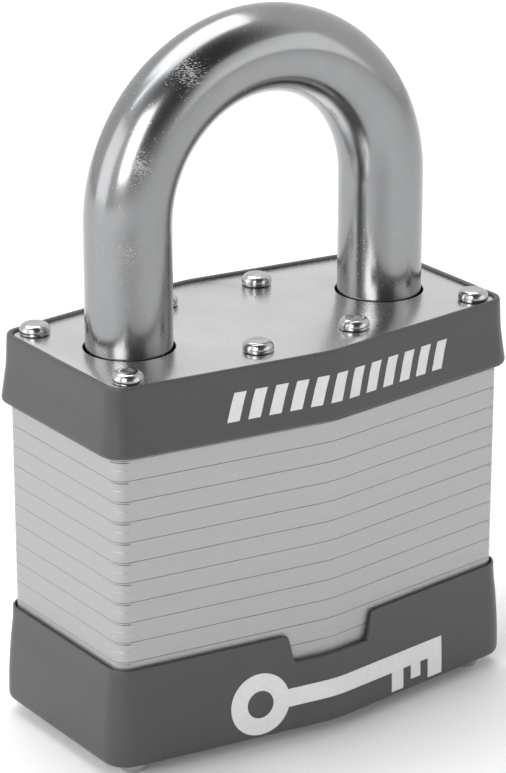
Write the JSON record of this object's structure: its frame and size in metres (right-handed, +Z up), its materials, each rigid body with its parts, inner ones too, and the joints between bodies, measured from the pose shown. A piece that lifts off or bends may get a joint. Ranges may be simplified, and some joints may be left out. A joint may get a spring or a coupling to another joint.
{
  "type": "laminated padlock",
  "caption": "Laminated steel padlock: riveted stack of plates between moulded bumpers, with a round steel shackle and a pin tumbler cylinder.",
  "frame": {"origin": "under the middle of the body, level with the flat ends of the lower rivet heads that the padlock stands on", "axes": "+Z up through the shackle, X along the width from the heel leg (-X) to the toe leg (+X), -Y the front face with the notched bumper"},
  "size_m": [0.054, 0.0308, 0.08],
  "materials": {
    "plate": "sheared steel, light grey and nearly matte",
    "cover_plate": "satin ground steel",
    "rivet": "polished steel",
    "bumper": "satin dark grey moulding",
    "shackle": "satin chrome with fine scratches",
    "steel_part": "machined steel",
    "spring": "drawn spring wire",
    "brass_part": "machined brass"
  },
  "bodies": {
    "case": {"bottom_plate": "cover_plate", "lamination_01": "plate", "lamination_02": "plate", "lamination_03": "plate", "lamination_04": "plate", "lamination_05": "plate", "lamination_06": "plate", "lamination_07": "plate", "lamination_08": "plate", "lamination_09": "plate", "lamination_10": "plate", "lamination_11": "plate", "lamination_12": "plate", "lamination_13": "plate", "lamination_14": "plate", "lamination_15": "plate", "lamination_16": "plate", "top_plate": "cover_plate", "rivet_1": "rivet", "rivet_2": "rivet", "rivet_3": "rivet", "rivet_4": "rivet", "rivet_5": "rivet", "rivet_6": "rivet", "rivet_7": "rivet", "rivet_8": "rivet", "top_bumper": "bumper", "bottom_bumper": "bumper", "cylinder_housing": "brass_part", "chamber_cover": "brass_part", "driver_pin_1": "brass_part", "driver_pin_2": "brass_part", "driver_pin_3": "brass_part", "driver_pin_4": "brass_part", "driver_pin_5": "brass_part", "pin_spring_1": "spring", "pin_spring_2": "spring", "pin_spring_3": "spring", "pin_spring_4": "spring", "pin_spring_5": "spring", "lever_spring": "spring", "shackle_spring": "spring"},
    "shackle": {"shackle": "shackle", "shackle_stop_ring": "steel_part"},
    "plug": {"cylinder_plug": "brass_part", "key_pin_1": "brass_part", "key_pin_2": "brass_part", "key_pin_3": "brass_part", "key_pin_4": "brass_part", "key_pin_5": "brass_part", "drive_cam": "steel_part"},
    "lever_left": {"locking_lever_left": "steel_part"},
    "lever_right": {"locking_lever_right": "steel_part"}
  },
  "joints": [
    {"name": "shackle_lift", "type": "slide", "parent": "case", "child": "shackle", "axis": [0, 0, 1], "range_m": [0, 0.01545], "deforming": ["shackle_spring"]},
    {"name": "plug_turn", "type": "hinge", "parent": "case", "child": "plug", "pos_m": [0, -0.003, 0.016], "axis": [0, 0, -1], "range_deg": [0, 90]},
    {"name": "lever_left_slide", "type": "slide", "parent": "case", "child": "lever_left", "axis": [-1, 0, 0], "range_m": [0, 0.0021], "deforming": ["lever_spring"]},
    {"name": "lever_right_slide", "type": "slide", "parent": "case", "child": "lever_right", "axis": [1, 0, 0], "range_m": [0, 0.0021]}
  ],
  "couplings": [
    {"joint": "lever_left_slide", "follows": "plug_turn", "m_per_rad": 0.001336},
    {"joint": "lever_right_slide", "follows": "plug_turn", "m_per_rad": 0.001336}
  ]
}
